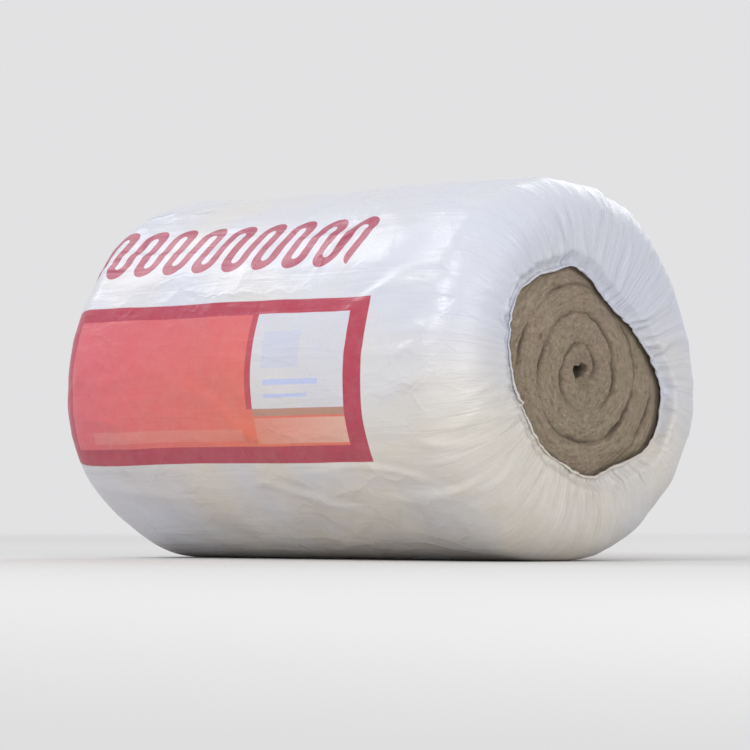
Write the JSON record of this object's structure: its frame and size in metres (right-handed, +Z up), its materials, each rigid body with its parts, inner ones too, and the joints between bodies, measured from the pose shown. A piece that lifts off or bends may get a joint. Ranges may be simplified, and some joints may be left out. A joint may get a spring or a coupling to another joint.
{
  "type": "mineral wool blanket roll",
  "caption": "Mineral wool insulation blanket rolled up tight in a printed plastic film sleeve that is shrunk over both ends and leaves the wool showing in an oval opening.",
  "frame": {"origin": "on the floor, below the middle of the roll as it lies", "axes": "+X along the roll's axis, towards the end that the picture shows; +Z up"},
  "size_m": [0.612, 0.3919, 0.392],
  "materials": {
    "wool": "matte",
    "film": "gloss"
  },
  "bodies": {
    "root": {"wool_roll": "wool", "film_wrap": "film"}
  },
  "joints": []
}
